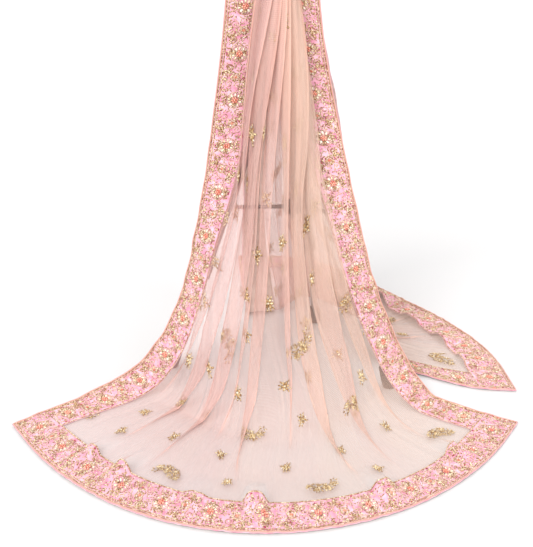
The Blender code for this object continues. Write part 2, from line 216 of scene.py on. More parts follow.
# A pleat's middle is at a share of the way across the net (0 left seam, 1 right seam), which
# drifts from the hem to the middle of the fall and on to the bar. It takes its share of the
# spare cloth, and opens from a height.
Fold = namedtuple("Fold", "low middle top share start")
FRONT_FOLDS = (
    Fold(0.030, 0.038, 0.13, 1.4, 0.20),
    Fold(0.131, 0.130, 0.30, 1.2, 0.050),
    Fold(0.241, 0.250, 0.40, 1.1, 0.045),
    Fold(0.350, 0.330, 0.45, 0.5, 0.16),
    Fold(0.455, 0.400, 0.50, 0.8, 0.070),
    Fold(0.540, 0.575, 0.57, 0.6, 0.150),
    Fold(0.700, 0.680, 0.66, 1.1, 0.050),
    Fold(0.775, 0.820, 0.77, 1.3, 0.050),
    Fold(0.900, 0.945, 0.91, 0.8, 0.050),
)
BACK_FOLDS = (
    Fold(0.08, 0.08, 0.10, 0.7, 0.10),
    Fold(0.22, 0.22, 0.28, 1.0, 0.08),
    Fold(0.37, 0.35, 0.40, 1.1, 0.05),
    Fold(0.51, 0.51, 0.52, 1.2, 0.06),
    Fold(0.65, 0.66, 0.62, 0.9, 0.05),
    Fold(0.78, 0.80, 0.74, 1.1, 0.06),
    Fold(0.91, 0.93, 0.88, 0.7, 0.12),
)

# A buckle is a ripple of an end border: where it is across the cloth, its half width and height.
Buckle = namedtuple("Buckle", "across reach height")
FRONT_BUCKLES = (
    Buckle(0.165, 0.014, 0.013),
    Buckle(0.245, 0.015, 0.016),
    Buckle(0.390, 0.018, 0.007),
    Buckle(0.485, 0.016, 0.021),
    Buckle(0.690, 0.017, 0.015),
    Buckle(0.860, 0.015, 0.014),
)
BACK_BUCKLES = (
    Buckle(0.15, 0.050, 0.012),
    Buckle(0.33, 0.050, 0.016),
    Buckle(0.49, 0.040, 0.026),
    Buckle(0.63, 0.035, 0.010),
    Buckle(0.76, 0.030, 0.012),
    Buckle(0.88, 0.030, 0.009),
)

# side is -1 where the cloth faces the front and 1 where it faces the back. run is the length of
# the fall from the hem to the top of the bar. opening is how far up the pleats take to open, and
# widest limits a pleat to a share of the drape's width.
Fall = namedtuple("Fall", "name side run sections folds buckles opening widest")
FALLS = (
    Fall("front", -1, 1.20, FRONT_SECTIONS, FRONT_FOLDS, FRONT_BUCKLES, 0.24, 0.38),
    Fall("back", 1, 1.22, BACK_SECTIONS, BACK_FOLDS, BACK_BUCKLES, 0.10, 0.90),
)
for fall in FALLS:
    print(fall.name, "fall:", len(fall.sections), "sections,", len(fall.folds), "folds,",
          len(fall.buckles), "buckles")


# %% Curves between sections
def hermite(start, leave, end, arrive, t):
    """From start to end as t goes from 0 to 1, leaving and arriving at the given speeds."""
    return ((2 * t**3 - 3 * t**2 + 1) * start + (t**3 - 2 * t**2 + t) * leave
            + (3 * t**2 - 2 * t**3) * end + (t**3 - t**2) * arrive)


def ease(x):
    """Goes smoothly from 0 to 1 as x does."""
    x = np.clip(x, 0.0, 1.0)
    return x * x * (3 - 2 * x)


def unit(v):
    """Vectors of the same directions, 1 long."""
    return v / np.maximum(np.linalg.norm(v, axis=-1, keepdims=True), 1e-9)


def read(rows, name, up):
    """The smooth curve through one column of a table, read at heights up the fall."""
    knots = np.array([row.up for row in rows])
    values = np.array([getattr(row, name) for row in rows], dtype=float)
    slopes = np.gradient(values, knots)
    i = np.clip(np.searchsorted(knots, up) - 1, 0, len(knots) - 2)
    width = knots[i + 1] - knots[i]
    return hermite(values[i], slopes[i] * width, values[i + 1], slopes[i + 1] * width,
                   (up - knots[i]) / width)


def heading(turn, dip, inward):
    """Directions in from an edge. inward is 1 from the left edge and -1 from the right."""
    a, b = np.radians(turn), np.radians(dip)
    return np.stack([inward * np.cos(a) * np.cos(b), -np.sin(a) * np.cos(b), -np.sin(b)], axis=-1)


# %% The smooth cloth, row by row
BORDER_STEPS = 10
NET_SAMPLES = 320
OFF_FLOOR = 0.0022        # room under the cloth for its wall and its piping
ROUNDNESS = 1.08          # how far a section swings out, against its straight length


def smooth_rows(fall, ups):
    """For each height: points across the left border, the net and the right border, unfolded.

    The net's points are evenly spaced along the section, so a share of its width is a true one.
    """
    top = fall.sections[-1].up
    at = {name: read(fall.sections, name, np.minimum(ups, top)) for name in Section._fields[1:]}
    left, mid, right = (np.stack([at[s + "_x"], at[s + "_y"], at[s + "_z"]], axis=-1)
                        for s in ("left", "mid", "right"))
    in_left = heading(at["left_turn"], at["left_dip"], 1)
    in_right = heading(at["right_turn"], at["right_dip"], -1)
    seam_left, seam_right = left + SIDE_BORDER * in_left, right + SIDE_BORDER * in_right
    slack = at["slack"][:, None]
    reach_left = np.linalg.norm(mid - seam_left, axis=1)[:, None] * ROUNDNESS + slack
    reach_right = np.linalg.norm(seam_right - mid, axis=1)[:, None] * ROUNDNESS + slack
    over = unit(seam_right - seam_left) * (reach_left + reach_right) / 2
    leave = heading(at["net_left"], at["left_dip"], 1) * reach_left
    arrive = -heading(at["net_right"], at["right_dip"], -1) * reach_right
    t = np.linspace(0, 1, NET_SAMPLES // 2 + 1)[None, :, None]
    first = hermite(seam_left[:, None], leave[:, None], mid[:, None], over[:, None], t)
    second = hermite(mid[:, None], over[:, None], seam_right[:, None], arrive[:, None], t)
    net = np.concatenate([first, second[:, 1:]], axis=1)
    gaps = np.linalg.norm(np.diff(net, axis=1), axis=2)
    travelled = np.concatenate([np.zeros((len(ups), 1)), np.cumsum(gaps, axis=1)], axis=1)
    even = np.linspace(0, 1, NET_SAMPLES + 1)
    for r in range(len(ups)):
        share = travelled[r] / travelled[r, -1]
        net[r] = np.stack([np.interp(even, share, net[r, :, k]) for k in range(3)], axis=-1)
    w = np.linspace(0, SIDE_BORDER, BORDER_STEPS + 1)[None, :, None]
    rows = np.concatenate([left[:, None] + w * in_left[:, None], net[:, 1:-1],
                           right[:, None] + w[:, ::-1] * in_right[:, None]], axis=1)
    rows[..., 2] = np.maximum(rows[..., 2], OFF_FLOOR)
    over_bar = ups > top
    angle = (ups[over_bar] - top) / (1 - top) * pi / 2
    rows[over_bar, :, 1] = fall.side * DRAPE_RADIUS * np.cos(angle)[:, None]
    rows[over_bar, :, 2] = BAR_HEIGHT + DRAPE_RADIUS * np.sin(angle)[:, None]
    return rows, travelled[:, -1]


def outward(fall, points):
    """The direction off the cloth at each point, towards the side that shows."""
    along = np.gradient(points, axis=0)
    across = np.gradient(points, axis=1)
    return unit(np.cross(across, along) * -fall.side)


# %% [markdown]
# ## Folding the net
#
# The net is cut far wider than the drape is, so the spare width lies in flat pleats: the cloth
# runs forward, doubles back under itself, and runs forward again. Where it doubles back it is
# three layers deep, and that is what makes the denser bands of a sheer cloth. Each row is folded
# on its own: the spare width is shared out between the pleats, the turns are rounded a little,
# and the row is then fitted between its two seams.

# %% How full and how high the pleats are
# height is in metres from a pleat's valley to its crest. spare is the share of the net's spare
# width that lies in pleats.
Fullness = namedtuple("Fullness", "up height spare")
FULLNESS = (
    Fullness(0.000, 0.0000, 0.00),
    Fullness(0.056, 0.0005, 0.30),
    Fullness(0.120, 0.0025, 0.70),
    Fullness(0.200, 0.0060, 0.88),
    Fullness(0.300, 0.0100, 0.95),
    Fullness(0.450, 0.0160, 0.98),
    Fullness(0.620, 0.0200, 1.00),
    Fullness(0.780, 0.0190, 1.00),
    Fullness(0.880, 0.0120, 1.00),
    Fullness(1.000, 0.0080, 1.00),
)
print("pleats are up to", max(row.height for row in FULLNESS), "m high")

# %% Fold one row
NET_COLUMNS = 380
CREASE = 0.0030           # half width of a pleat's turn
LEAD = 0.016              # how far before its own width a pleat starts to rise
DRIFT = 0.33              # how far up the fall each of a pleat's two drifts goes on for
TOP_DRIFT = 0.47          # where the second one starts
NARROW = 0.006            # a pleat that takes this much cloth rises half as high as a wide one
STEEPEST = 0.12           # limits how little of a step goes across, where a pleat is steep


def fold_row(fall, up, width):
    """Shares across the smooth section, and heights off it, of the net's columns at one height."""
    height, spare_share = (read(FULLNESS, column, np.array([up]))[0] for column in ("height", "spare"))
    spare = (NET_WIDTH - width) * spare_share
    shares = np.array([f.share for f in fall.folds])
    middles = np.array([f.low + (f.middle - f.low) * ease(up / DRIFT)
                        + (f.top - f.middle) * ease((up - TOP_DRIFT) / DRIFT) for f in fall.folds])
    opened = np.array([ease((up - f.start) / fall.opening) for f in fall.folds])
    sizes = np.maximum(shares / shares.sum() * opened * spare / 2, 1e-5)
    widest = fall.widest * width * shares
    sizes = widest * np.tanh(sizes / widest)
    before = 2 * (np.cumsum(sizes) - sizes)
    crests = middles * width + sizes / 2 + before
    s = np.linspace(0, width + 2 * sizes.sum(), NET_COLUMNS + 1)
    rise, forward = np.zeros_like(s), np.ones_like(s)
    for crest, b in zip(crests, sizes):
        forward -= np.tanh((s - crest) / CREASE) - np.tanh((s - crest - b) / CREASE)
        climb = ease((s - crest + b + LEAD) / (b + LEAD))
        rise += height * b / (b + NARROW) * np.where(s < crest, climb, ease((crest + b - s) / b))
    slope = np.gradient(rise, s)
    steps = forward * np.sqrt(np.maximum(1 - slope**2, STEEPEST))
    place = np.concatenate([[0], np.cumsum((steps[1:] + steps[:-1]) / 2 * np.diff(s))])
    return place / place[-1], rise


# %% Fold the net, and lift it off the smooth section
FINE_CREASES = (17, 26, 37, 49, 63)        # how many of each kind there are across the net
FINE_LOW, FINE_MORE = 0.0003, 0.0008       # their height at the hem, and what is added higher up
LEAST_RISE = 0.0004
SEAM_FADE = 0.05          # pleats flatten out within this share of the net's width at each seam


def folded_net(fall, ups, smooth, width):
    """Points of the net with its pleats, and with the fine creases that run up it."""
    s = np.linspace(0, 1, NET_COLUMNS + 1)
    normal = outward(fall, smooth)
    first, last = BORDER_STEPS, smooth.shape[1] - BORDER_STEPS
    net, out = smooth[:, first:last], normal[:, first:last]
    even = np.linspace(0, 1, net.shape[1])
    random = np.random.default_rng(7)
    creases = [(f, random.uniform(0, tau), random.uniform(-2, 2)) for f in FINE_CREASES]
    points = np.empty((len(ups), NET_COLUMNS + 1, 3))
    at_seams = ease(s / SEAM_FADE) * ease((1 - s) / SEAM_FADE)
    for r, up in enumerate(ups):
        share, rise = fold_row(fall, up, width[r])
        share = np.clip(share, 0, 1)
        fine = sum(np.sin(tau * (f * s + 0.25 * drift * up) + phase) for f, phase, drift in creases)
        rise = rise + fine * (FINE_LOW + FINE_MORE * ease((up - 0.12) / 0.3))
        for b in fall.buckles:
            c = (b.across * CLOTH_WIDTH - SIDE_BORDER) / NET_WIDTH
            fade = max(0.0, 1 - abs(up * fall.run - END_BORDER) / END_BORDER)
            rise = rise + b.height * fade * np.exp(-((s - c) * NET_WIDTH / CLOTH_WIDTH / b.reach) ** 4)
        rise = np.maximum(rise, LEAST_RISE) * at_seams
        for k in range(3):
            points[r, :, k] = (np.interp(share, even, net[r, :, k])
                               + rise * np.interp(share, even, out[r, :, k]))
    return points


# %% Pucker the borders
PUCKER = 0.0008           # half of the pucker's height
EDGE_WAVE = 0.0018        # half of the height of the outer edge's wave


def border_lift(x, y):
    """The slight pucker that dense stitching gives satin, and a slow wave of its outer edge."""
    from_side_seam = SIDE_BORDER - np.minimum(x, CLOTH_WIDTH - x)
    from_seam = np.maximum(from_side_seam, END_BORDER - y)
    pucker = np.sin(tau * (y / 0.041 + 0.7 * np.sin(x / 0.021))) * np.sin(tau * x / 0.055 + y / 0.03)
    wave = np.sin(tau * y / 0.19 + 9 * x) * np.sin(tau * y / 0.117 + 1.3)
    return (PUCKER * (1 + pucker) * ease(from_seam / 0.008)
            + EDGE_WAVE * (1 + wave) * ease(from_side_seam / 0.045) * ease((y - END_BORDER) / 0.15))


# %% Drape both falls
END_ROWS = 12             # rows of points up the end border
ROWS_UP = 160             # and from there to the bar
Draped = namedtuple("Draped", "fall points out x y")
draped = {}
for fall in FALLS:
    end = END_BORDER / fall.run
    ups = np.concatenate([np.linspace(0, end, END_ROWS + 1)[:-1], np.linspace(end, 1, ROWS_UP + 1)])
    smooth, width = smooth_rows(fall, ups)
    edge = np.linspace(0, SIDE_BORDER, BORDER_STEPS + 1)
    even_net = np.linspace(0, NET_WIDTH, NET_COLUMNS + 1)
    x = np.concatenate([edge[:-1], SIDE_BORDER + even_net, CLOTH_WIDTH - edge[-2::-1]])
    y = ups * fall.run
    net = folded_net(fall, ups, smooth, width)
    points = np.concatenate([smooth[:, :BORDER_STEPS], net, smooth[:, -BORDER_STEPS:]], axis=1)
    points = points + outward(fall, points) * border_lift(x[None, :], y[:, None])[..., None]
    draped[fall.name] = Draped(fall, points, outward(fall, points), x, y)
    print(fall.name, "fall draped:", points.shape[0], "rows of", points.shape[1])


# %% [markdown]
# ## Cloth meshes
#
# Each piece is a patch of the draped grid. It keeps two things for later: a UV map in metres of
# flat cloth, which the weave and the embroidery read, and how closely the cloth is gathered,
# which makes net denser where it is bunched. The borders get a wall with Solidify, because satin
# is opaque and its reverse can be seen; net is far too thin to need one.

# %% Grid to mesh
HIGH_GATHER = 1.6         # high up, the net is also gathered in creases finer than this grid


def plain_mesh(obj):
    """The object with its modifiers turned into an ordinary mesh."""
    graph = bpy.context.evaluated_depsgraph_get()
    mesh = bpy.data.meshes.new_from_object(obj.evaluated_get(graph), depsgraph=graph)
    name, old = obj.name, obj.data
    obj.modifiers.clear()
    obj.data = mesh
    bpy.data.meshes.remove(old)
    mesh.name = name
    return obj


def grid_quads(rows, columns):
    """Faces between the points of a grid that is counted row by row."""
    index = np.arange(rows * columns).reshape(rows, columns)
    quads = (index[:-1, :-1], index[:-1, 1:], index[1:, 1:], index[1:, :-1])
    return np.stack(quads, axis=-1).reshape(-1, 4)


def gathered(d, points, x, y):
    """How much flat cloth lies at each point: 1 where the drape isn't gathered."""
    area = np.linalg.norm(np.cross(np.gradient(points, axis=0), np.gradient(points, axis=1)), axis=2)
    cut = np.abs(np.gradient(y))[:, None] * np.gradient(x)[None, :]
    cut = cut * (1 + HIGH_GATHER * ease((y / d.fall.run - 0.55) / 0.25))[:, None]
    return np.clip(cut / np.maximum(area, 1e-9), 0.7, 6)


def cloth_piece(name, d, rows, columns, wall=0.0):
    """A patch of the drape. With a wall it is a closed shell, and its reverse has its own material."""
    points, out = d.points[rows, columns] + STAND, d.out[rows, columns]
    x, y = d.x[columns], d.y[rows]
    quads = grid_quads(*points.shape[:2])
    if d.fall.side > 0:
        quads = quads[:, ::-1]
    mesh = bpy.data.meshes.new(name)
    mesh.from_pydata(points.reshape(-1, 3).tolist(), [], quads.tolist())
    uv = mesh.uv_layers.new(name="cloth")
    corners = np.empty(len(mesh.loops), dtype=np.int64)
    mesh.loops.foreach_get("vertex_index", corners)
    flat = np.stack(np.broadcast_arrays(x[None, :], y[:, None]), axis=-1).reshape(-1, 2)
    uv.data.foreach_set("uv", flat[corners].astype(np.float32).ravel())
    closeness = mesh.attributes.new("closeness", "FLOAT", "POINT")
    closeness.data.foreach_set("value", gathered(d, points, x, y).ravel().astype(np.float32))
    direction = mesh.attributes.new("out", "FLOAT_VECTOR", "POINT")
    direction.data.foreach_set("vector", out.reshape(-1, 3).astype(np.float32).ravel())
    mesh.shade_smooth()
    made = new_object(name, mesh)
    if not wall:
        return made
    solid = made.modifiers.new("wall", "SOLIDIFY")
    solid.thickness = wall
    solid.offset = -1
    solid.use_even_offset = False
    solid.material_offset = 1
    for _ in ("face", "reverse"):
        mesh.materials.append(None)        # an empty slot, filled when the finishes are made
    return plain_mesh(made)


# %% Cut the pieces out of the drape
BORDER_WALL = 0.0011
pieces = {}
maps = {}                 # the whole of each fall, for the embroidery to find its place on
for name, d in draped.items():
    e, b, everything = END_ROWS, BORDER_STEPS, slice(None)
    pieces[name, "net"] = cloth_piece(f"{name}_net_cloth", d, slice(e, None), slice(b, -b))
    for part, rows, columns in (("left", slice(e, None), slice(0, b + 1)),
                                ("right", slice(e, None), slice(-b - 1, None)),
                                ("end", slice(0, e + 1), everything)):
        pieces[name, part] = cloth_piece(f"{name}_border_{part}_cloth", d, rows, columns, BORDER_WALL)
    maps[name] = cloth_piece(f"{name}_map", d, everything, everything)
    print(name, "pieces, and their faces:", {part: len(pieces[name, part].data.polygons)
                                             for part in ("net", "left", "right", "end")})


# %% [markdown]
# ## Motifs
#
# The embroidery is drawn on flat cloth and then laid onto the drape. It is built from a few tiny
# closed shapes, repeated thousands of times: a stitch of gold wire, a leaf, a petal, a cut stone
# and a bead. Each has at most two dozen faces, because there are so many of them.

# %% Tiny closed shapes
UNDERSIDE = -0.3          # how deep a motif goes under the cloth, against its height
SHOULDER, SHOULDER_HEIGHT = 0.62, 0.75     # of a dome, against its outline and its height


def motif(name, outline, height, shoulder=False):
    """A closed shape over a flat outline. Its top is a point, or a dome if it has a shoulder."""
    n = len(outline)
    rings = [[(x, y, 0.0) for x, y in outline]]
    if shoulder:
        rings.append([(x * SHOULDER, y * SHOULDER, height * SHOULDER_HEIGHT) for x, y in outline])
    top = n * len(rings)
    faces = []
    for i in range(n):
        j = (i + 1) % n
        if shoulder:
            faces.append((i, j, n + j, n + i))
        faces += [(top - n + i, top - n + j, top), (j, i, top + 1)]
    mesh = bpy.data.meshes.new(name)
    mesh.from_pydata([*sum(rings, []), (0, 0, height), (0, 0, height * UNDERSIDE)], [], faces)
    mesh.shade_smooth()
    made = new_object(name, mesh)
    made.hide_render = True
    print(name, len(faces), "faces")
    return made


def oval(length, width, points, sharp=1.0):
    """An outline of a few points. A sharp of more than 1 draws its ends out."""
    return [(length / 2 * cos(tau * i / points),
             width / 2 * sin(tau * i / points) * abs(sin(tau * i / points)) ** (sharp - 1))
            for i in range(points)]


leaf = motif("leaf_motif", oval(0.0074, 0.0033, 6, 1.3), 0.0011)
stitch = motif("stitch_motif", oval(0.0040, 0.0020, 4), 0.0010)
bead = motif("bead_motif", oval(0.0024, 0.0024, 6), 0.0013)
petal = motif("petal_motif", oval(0.0076, 0.0050, 8, 1.1), 0.0014, shoulder=True)
stone = motif("stone_motif", oval(0.0042, 0.0042, 8), 0.0018, shoulder=True)

# %% [markdown]
# ## Laying flat work onto the drape
#
# Thousands of stitches could be placed one by one in a loop, but a Geometry Nodes tree does it in
# one go. It puts a motif on each point of a flat layout, turned and scaled as the point says, makes
# the copies real, and then moves every vertex from the flat cloth to the draped one. Sample UV
# Surface finds the place on the drape that has the same position in metres of flat cloth, which is
# just what the hand does when it follows cloth. A second tree does the same with a rolled edge.

# %% Helpers for trees
LAYING_INPUTS = (
    ("Cloth", "NodeSocketObject"), ("Width", "NodeSocketFloat"), ("Run", "NodeSocketFloat"),
    ("Lift", "NodeSocketFloat"), ("Faces Back", "NodeSocketBool"), ("Finish", "NodeSocketMaterial"),
)
EDGE_ROOM = 0.0001        # a point past the cloth's edge would find no place on it


def new_tree(name, inputs):
    """A Geometry Nodes tree, its inputs as sockets, and its output node."""
    tree = bpy.data.node_groups.new(name, "GeometryNodeTree")
    for label, kind in (("Geometry", "NodeSocketGeometry"), *inputs):
        tree.interface.new_socket(label, in_out="INPUT", socket_type=kind)
    tree.interface.new_socket("Geometry", in_out="OUTPUT", socket_type="NodeSocketGeometry")
    return tree, tree.nodes.new("NodeGroupInput").outputs, tree.nodes.new("NodeGroupOutput")


def named(tree, name, kind="FLOAT"):
    """A value that each point carries."""
    node = add(tree, "GeometryNodeInputNamedAttribute", {"Name": name}, data_type=kind)
    return node.outputs["Attribute"]


def math_node(tree, operation, *values):
    """The output of a Math node with the given inputs."""
    return add(tree, "ShaderNodeMath", dict(enumerate(values)), operation=operation).outputs[0]


# %% From flat cloth to the drape
def lay_on_cloth(tree, given, geometry, result):
    """Adds the nodes that take flat geometry to the drape, give it its finish and put it out."""
    cloth = add(tree, "GeometryNodeObjectInfo", {"Object": given["Cloth"]}, transform_space="ORIGINAL")
    place = add(tree, "GeometryNodeInputPosition").outputs[0]
    parts = add(tree, "ShaderNodeSeparateXYZ", {0: place}).outputs
    within = {}
    for axis, limit in (("X", "Width"), ("Y", "Run")):
        most = math_node(tree, "SUBTRACT", given[limit], EDGE_ROOM)
        kept = add(tree, "ShaderNodeClamp", {"Value": parts[axis], "Min": EDGE_ROOM, "Max": most})
        within[axis] = kept.outputs[0]
    flat = add(tree, "ShaderNodeCombineXYZ", within).outputs[0]
    # two things are read from the drape: where the flat place is, and which way is off the cloth
    uv, out = named(tree, "cloth", "FLOAT_VECTOR"), named(tree, "out", "FLOAT_VECTOR")
    on_drape, off_drape = (
        add(tree, "GeometryNodeSampleUVSurface",
            {"Mesh": cloth.outputs["Geometry"], "Value": value, "Source UV Map": uv, "Sample UV": flat},
            data_type="FLOAT_VECTOR").outputs["Value"]
        for value in (place, out))
    height = math_node(tree, "ADD", parts["Z"], given["Lift"])
    lifted = add(tree, "ShaderNodeVectorMath", {0: off_drape, "Scale": height}, operation="SCALE")
    total = add(tree, "ShaderNodeVectorMath", {0: on_drape, 1: lifted.outputs[0]}, operation="ADD")
    placed = add(tree, "GeometryNodeSetPosition", {"Geometry": geometry, "Position": total.outputs[0]})
    moved = placed.outputs["Geometry"]
    # flat work lands inside out on the fall that faces back, so there its faces are turned over
    turned_over = add(tree, "GeometryNodeFlipFaces", {"Mesh": moved})
    choice = add(tree, "GeometryNodeSwitch",
                 {"Switch": given["Faces Back"], "False": moved, "True": turned_over.outputs[0]},
                 input_type="GEOMETRY")
    finish = add(tree, "GeometryNodeSetMaterial",
                 {"Geometry": choice.outputs["Output"], "Material": given["Finish"]})
    connect(tree, result, {0: finish.outputs[0]})


# %% The two trees
CORD_SIDES = 8


def sewing_tree():
    """A motif on each point of a flat layout."""
    tree, given, result = new_tree("sew_motifs", (("Motif", "NodeSocketObject"), *LAYING_INPUTS))
    shape = add(tree, "GeometryNodeObjectInfo", {"Object": given["Motif"]}, transform_space="ORIGINAL")
    angles = add(tree, "ShaderNodeCombineXYZ", {"Z": named(tree, "turn")})
    rotation = add(tree, "FunctionNodeEulerToRotation", {0: angles.outputs[0]})
    copies = add(tree, "GeometryNodeInstanceOnPoints",
                 {"Points": given["Geometry"], "Instance": shape.outputs["Geometry"],
                  "Rotation": rotation.outputs[0], "Scale": named(tree, "size")})
    real = add(tree, "GeometryNodeRealizeInstances", {0: copies.outputs[0]})
    lay_on_cloth(tree, given, real.outputs[0], result)
    return tree


def rolling_tree():
    """A round cord along flat lines."""
    tree, given, result = new_tree("roll_edge", (("Radius", "NodeSocketFloat"), *LAYING_INPUTS))
    lines = add(tree, "GeometryNodeMeshToCurve", {0: given["Geometry"]})
    circle = add(tree, "GeometryNodeCurvePrimitiveCircle",
                 {"Resolution": CORD_SIDES, "Radius": given["Radius"]})
    tube = add(tree, "GeometryNodeCurveToMesh",
               {"Curve": lines.outputs[0], "Profile Curve": circle.outputs[0], "Fill Caps": True})
    soft = add(tree, "GeometryNodeSetShadeSmooth", {0: tube.outputs[0]})
    real = add(tree, "GeometryNodeRealizeInstances", {0: soft.outputs[0]})
    lay_on_cloth(tree, given, real.outputs[0], result)
    return tree


SEW, ROLL = sewing_tree(), rolling_tree()
print("trees made:", SEW.name, ROLL.name)


def lay(obj, tree, fall, **values):
    """Runs a tree on flat work for one fall, with its named inputs set, and leaves a plain mesh."""
    values.update({"Cloth": maps[fall.name], "Width": CLOTH_WIDTH, "Run": fall.run,
                   "Faces Back": fall.side > 0})
    modifier = obj.modifiers.new("sewn", "NODES")
    modifier.node_group = tree
    for item in tree.interface.items_tree:
        if item.in_out == "INPUT" and item.name in values:
            modifier[item.identifier] = values[item.name]
    made = plain_mesh(obj)
    made.data.materials.clear()
    made.data.materials.append(values["Finish"])
    return made


# %% [markdown]
# ## Finishes
#
# Effects that several finishes share are node groups, built once: woven threads, a slow change of
# tint over the cloth, and the sparkle of hammered metal. The net's threads are a group too. Cloth
# reads its own UV in metres, so that a weave follows the folds.

# %% Helpers for finishes
def new_group(name, inputs, outputs):
    """A shader group of plain numbers: its inputs as sockets, and its output node."""
    group = bpy.data.node_groups.new(name, "ShaderNodeTree")
    for label, value in inputs.items():
        made = group.interface.new_socket(label, in_out="INPUT", socket_type="NodeSocketFloat")
        made.default_value = value
    for label in outputs:
        group.interface.new_socket(label, in_out="OUTPUT", socket_type="NodeSocketFloat")
    return group, group.nodes.new("NodeGroupInput").outputs, group.nodes.new("NodeGroupOutput")


def use(tree, group, **values):
    """Places a group with its own values."""
    return add(tree, "ShaderNodeGroup", values, node_tree=group).outputs


def cloth_uv(tree):
    """The place on the flat cloth, in metres."""
    return add(tree, "ShaderNodeUVMap", uv_map="cloth").outputs[0]


def rising(tree, value, low, rise):
    """low where value is 0, and low + rise where it is 1."""
    return math_node(tree, "ADD", low, math_node(tree, "MULTIPLY", value, rise))


def share_of(tree, value, none, whole):
    """0 where value is none, 1 where it is whole, and held at those outside them."""
    limits = {"From Min": none, "From Max": whole, "Value": value}
    return add(tree, "ShaderNodeMapRange", limits).outputs["Result"]


def mix(tree, share, a, b):
    """Colour a where share is 0, and b where it is 1."""
    node = add(tree, "ShaderNodeMix", {"Factor": share, "A": a, "B": b}, data_type="RGBA")
    return node.outputs["Result"]


def ramp(tree, factor, *stops):
    """A colour ramp from (position, screen colour) stops."""
    node = add(tree, "ShaderNodeValToRGB", {0: factor})
    points = node.color_ramp.elements
    while len(points) < len(stops):
        points.new(0.5)
    for point, (position, colour) in zip(points, stops):
        point.position = position
        point.color = plain(colour)
    return node.outputs[0]


def bump(tree, height, distance, strength=1.0):
    """A normal that looks as if the surface rose by distance where height is 1."""
    rise = {"Distance": distance, "Strength": strength, "Height": height}
    return add(tree, "ShaderNodeBump", rise).outputs[0]


# %% Shader groups
def weave_group():
    """Over and under threads, as a height from 0 to 1."""
    group, given, result = new_group("Weave", {"Thread": 0.0008}, ["Height"])
    parts = add(group, "ShaderNodeSeparateXYZ", {0: cloth_uv(group)}).outputs
    waves = []
    for axis in ("X", "Y"):
        turns = math_node(group, "DIVIDE", parts[axis], given["Thread"])
        wave = math_node(group, "SINE", math_node(group, "MULTIPLY", turns, pi))
        waves.append(math_node(group, "ABSOLUTE", wave))
    connect(group, result, {"Height": math_node(group, "MULTIPLY", *waves)})
    return group


def net_group():
    """Threads of a fine net: 1 on a thread, 0 in a hole. Cell is the hole's width."""
    group, given, result = new_group("Net Threads", {"Cell": 0.0016, "Thread": 0.22}, ["Mask"])
    per_metre = math_node(group, "DIVIDE", 1.0, given["Cell"])
    scaled = add(group, "ShaderNodeVectorMath", {0: cloth_uv(group), "Scale": per_metre},
                 operation="SCALE")
    # holes are longer along the cloth than across it
    long = add(group, "ShaderNodeVectorMath", {0: scaled.outputs[0], 1: (1.0, 0.577, 0.0)},
               operation="MULTIPLY")
    cells = add(group, "ShaderNodeTexVoronoi",
                {"Scale": 1.0, "Randomness": 0.25, "Vector": long.outputs[0]},
                voronoi_dimensions="2D", feature="DISTANCE_TO_EDGE")
    away = math_node(group, "DIVIDE", cells.outputs["Distance"], given["Thread"])
    mask = math_node(group, "SUBTRACT", 1.0, math_node(group, "MINIMUM", away, 1.0))
    connect(group, result, {"Mask": mask})
    return group


def tint_group():
    """Slow, slightly streaky variation along the cloth, about 0.5 in the middle."""
    group, given, result = new_group("Slow Tint", {"Across": 30.0, "Along": 4.0}, ["Value"])
    scale = add(group, "ShaderNodeCombineXYZ", {"X": given["Across"], "Y": given["Along"]})
    scaled = add(group, "ShaderNodeVectorMath", {0: cloth_uv(group), 1: scale.outputs[0]},
                 operation="MULTIPLY")
    noise = add(group, "ShaderNodeTexNoise", {"Scale": 1.0, "Detail": 3.0, "Vector": scaled.outputs[0]},
                noise_dimensions="2D")
    connect(group, result, {"Value": noise.outputs[0]})
    return group


def glint_group():
    """Small facets of hammered metal or cut stone, from the object's own coordinates. Value is a random
    tone for each facet, which the finishes turn into painted glints and painted shade.
    """
    group, given, result = new_group("Glint", {"Facets": 700.0}, ["Value", "Height"])
    where = add(group, "ShaderNodeTexCoord").outputs["Object"]
    cells = add(group, "ShaderNodeTexVoronoi", {"Vector": where, "Scale": given["Facets"]}).outputs
    tone = add(group, "ShaderNodeSeparateColor", {0: cells["Color"]})
    connect(group, result, {"Value": tone.outputs[0], "Height": cells["Distance"]})
    return group


WEAVE, NET, TINT, GLINT = weave_group(), net_group(), tint_group(), glint_group()
print("groups:", WEAVE.name, NET.name, TINT.name, GLINT.name)

# %% [markdown]
# ## Net
#
# Real net is threads with air between them. At this size single threads can't be seen, only how
# much of what lies behind comes through, so the net is one sheet whose alpha carries that. One
# layer lets most of the light by. Where the cloth is gathered, more layers lie on each other, and
# the share that gets by goes down as a power of how many there are. A glass or translucent
# shader would bend or tint the light as a film does, which net doesn't.

# %% Peach net
SHEER = 0.27              # how much of the light one flat layer of net stops
MOST_SOLID = 0.97
BEIGE = ((0.25, (227, 192, 174)), (0.75, (234, 205, 189)))
# The rosy tints are darker than the beige ones: partly a pinker net, partly painted shade for the
# shadowed floor seen behind the left side.
ROSY_SHADED = ((0.25, (222, 174, 166)), (0.75, (231, 194, 186)))
# The bunched tints are a painted highlight, lighter than the flat net; the second, darker one is for the
# shaded left side.
BUNCHED_HIGHLIGHT = ((0.0, (255, 209, 187)), (1.0, (246, 194, 180)))


